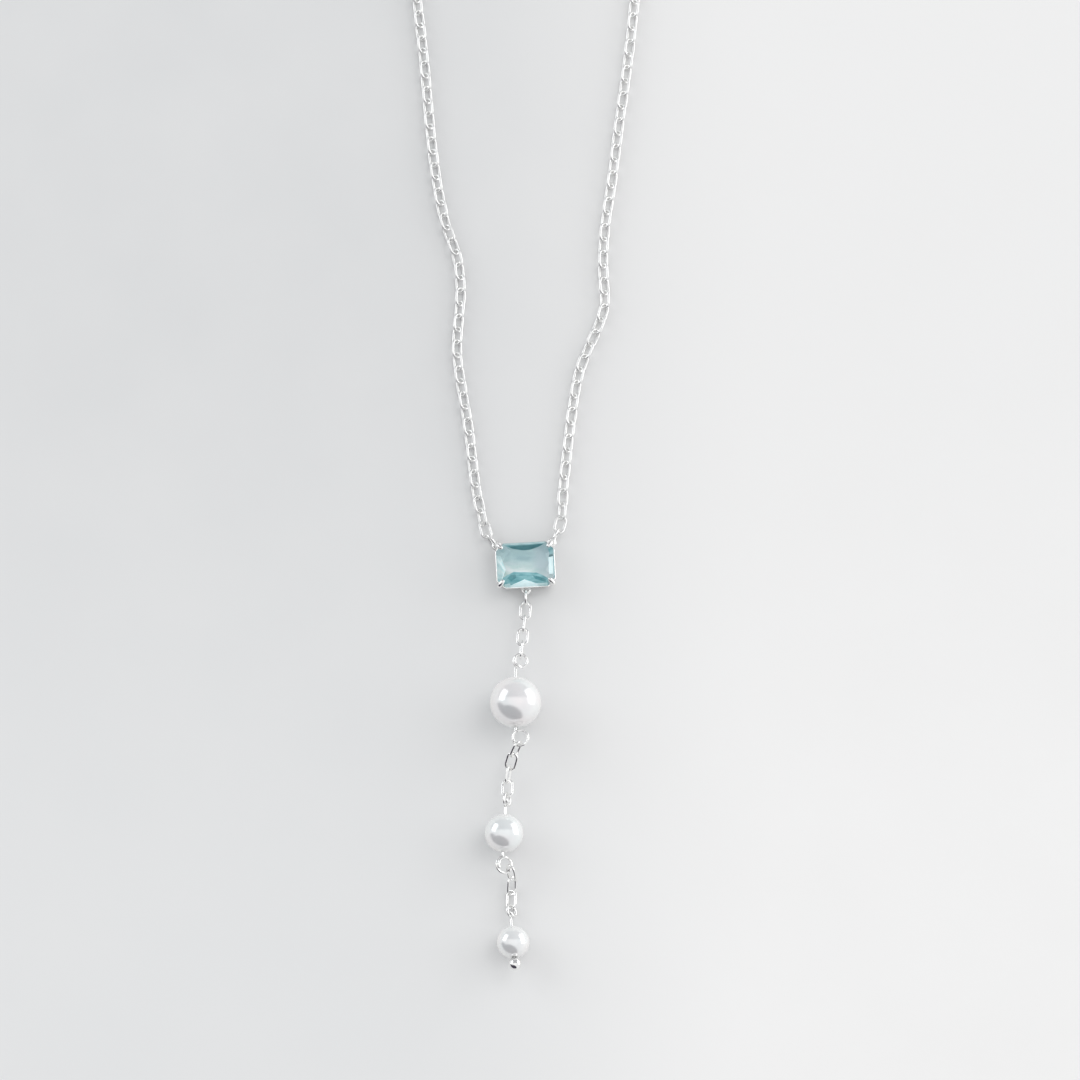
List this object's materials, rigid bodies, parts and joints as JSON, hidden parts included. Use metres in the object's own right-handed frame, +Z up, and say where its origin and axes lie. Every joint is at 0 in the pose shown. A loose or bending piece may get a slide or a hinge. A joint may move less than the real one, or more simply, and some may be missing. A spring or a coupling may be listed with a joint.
{
  "type": "y necklace",
  "caption": "Y necklace laid flat: a closed loop of cable chain joins an oblong aqua stone in a claw setting, from which round pearls on wire pins hang in a line.",
  "frame": {"origin": "on the surface that the necklace lies on, under the middle of its whole outline", "axes": "+Z up from the surface, +Y along the necklace from the pearl drop to the clasp behind the neck, +X to the wearer's left as seen from above"},
  "size_m": [0.0542, 0.262, 0.008],
  "materials": {
    "silver": "polished silver",
    "pearl": "white nacre with a soft lustre",
    "stone": "polished pale aqua, faceted"
  },
  "bodies": {
    "root": {"stone": "stone", "setting": "silver", "jump_ring_left": "silver", "jump_ring_right": "silver", "jump_ring_drop": "silver", "chain_left": "silver", "chain_right": "silver", "clasp": "silver", "drop_link_1": "silver", "drop_link_2": "silver", "drop_link_3": "silver", "drop_link_4": "silver", "pearl_large": "pearl", "eye_pin_large": "silver", "drop_link_5": "silver", "drop_link_6": "silver", "drop_link_7": "silver", "drop_link_8": "silver", "pearl_middle": "pearl", "eye_pin_middle": "silver", "drop_link_9": "silver", "drop_link_10": "silver", "drop_link_11": "silver", "pearl_small": "pearl", "head_pin_small": "silver"}
  },
  "joints": []
}
